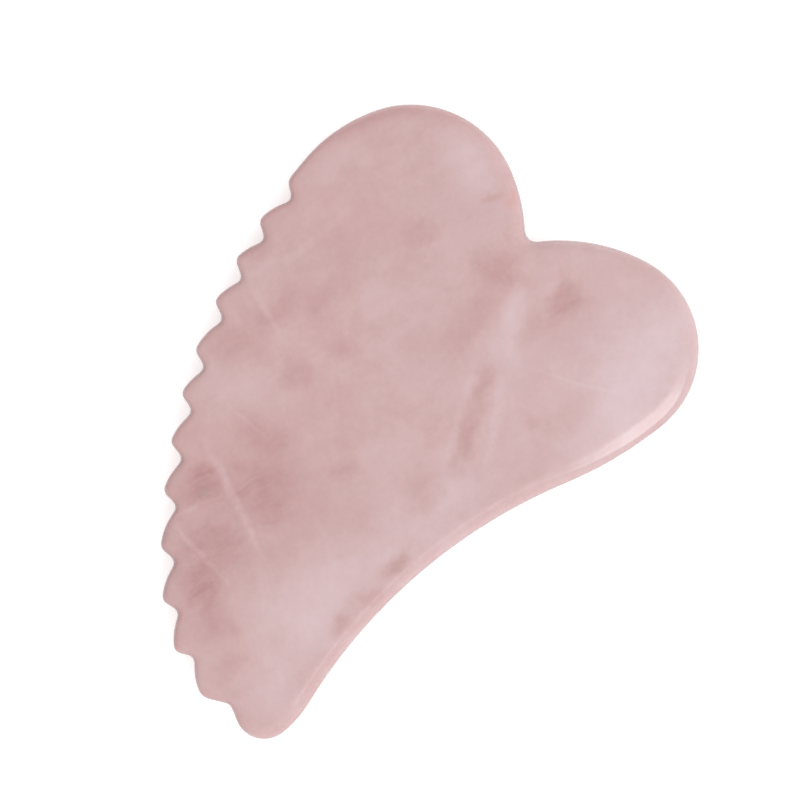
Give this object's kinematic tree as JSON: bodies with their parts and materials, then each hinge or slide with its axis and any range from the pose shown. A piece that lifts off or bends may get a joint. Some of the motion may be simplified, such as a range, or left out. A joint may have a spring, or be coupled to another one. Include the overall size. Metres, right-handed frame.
{
  "type": "gua sha scraper",
  "caption": "Flat polished stone scraper with two rounded lobes and a notch, a long hollow side, a pointed tip and a toothed comb side.",
  "frame": {"origin": "middle of the stone's bounding box, on its lower flat face", "axes": "+Z through the thickness, upwards; +Y along the length, towards the two lobes; +X across the width, towards the long hollow side, with the comb on the -X side"},
  "size_m": [0.066, 0.095, 0.006],
  "materials": {
    "pink_stone": "tumble-polished rose quartz: cloudy milky pink with pale fracture veins, glossy and slightly translucent"
  },
  "bodies": {
    "root": {"gua_sha_stone": "pink_stone"}
  },
  "joints": []
}
